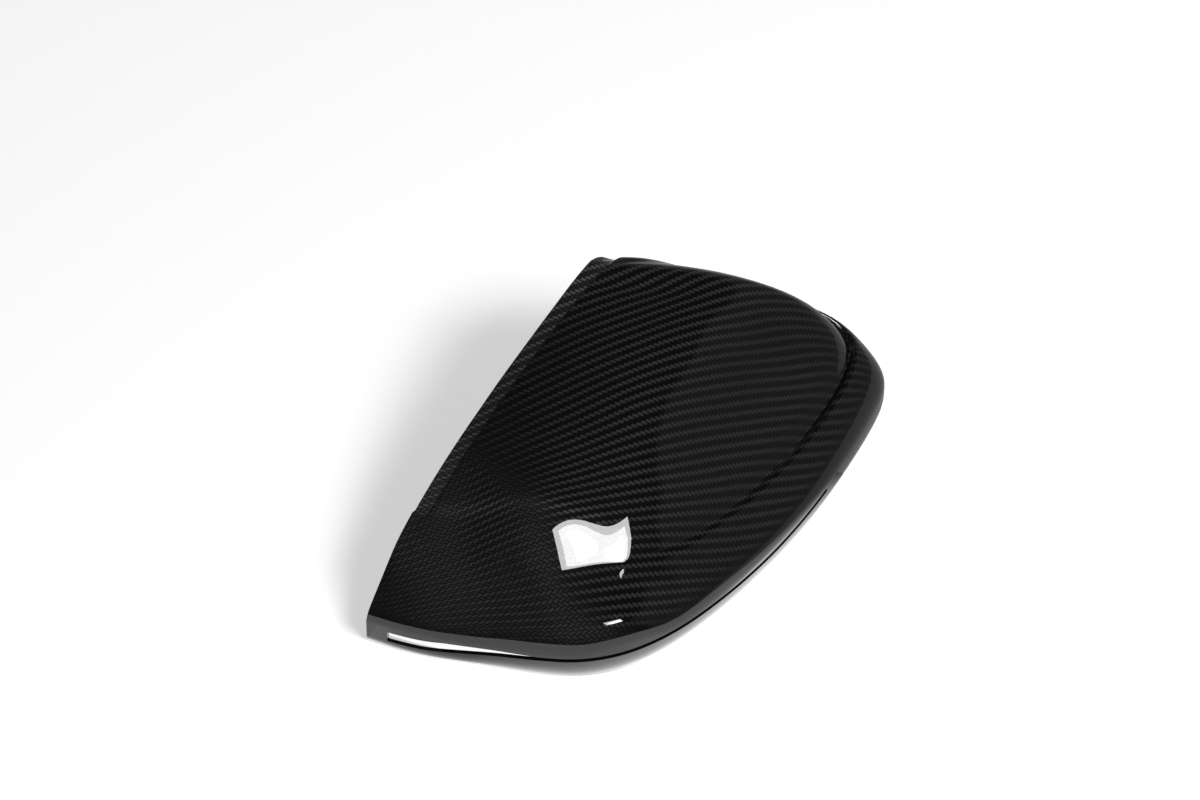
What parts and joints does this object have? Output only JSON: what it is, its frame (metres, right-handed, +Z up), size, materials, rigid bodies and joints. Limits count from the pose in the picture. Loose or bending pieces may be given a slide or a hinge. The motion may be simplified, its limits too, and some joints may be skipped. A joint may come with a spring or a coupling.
{
  "type": "wing mirror cover",
  "caption": "Domed glossy twill-laminate cover for the housing of a car's wing mirror, with a recessed glass rim, a long lamp slot and hooked clips inside.",
  "frame": {"origin": "on the ground plane, under the middle of the cover's box; the cover stands on its lower rim as in the picture", "axes": "+X inwards along the cover, from its low outer end to the high inner end; +Y backwards, out of the glass opening; +Z up"},
  "size_m": [0.2504, 0.12, 0.0963],
  "materials": {
    "laminate": "black twill laminate under polished clear coat",
    "clip_plastic": "moulded, matt"
  },
  "bodies": {
    "root": {"cover_shell": "laminate", "clip_top_inner": "clip_plastic", "clip_top_middle": "clip_plastic", "clip_top_outer": "clip_plastic", "clip_front_inner": "clip_plastic", "clip_front_outer": "clip_plastic", "clip_outer_end": "clip_plastic"}
  },
  "joints": []
}
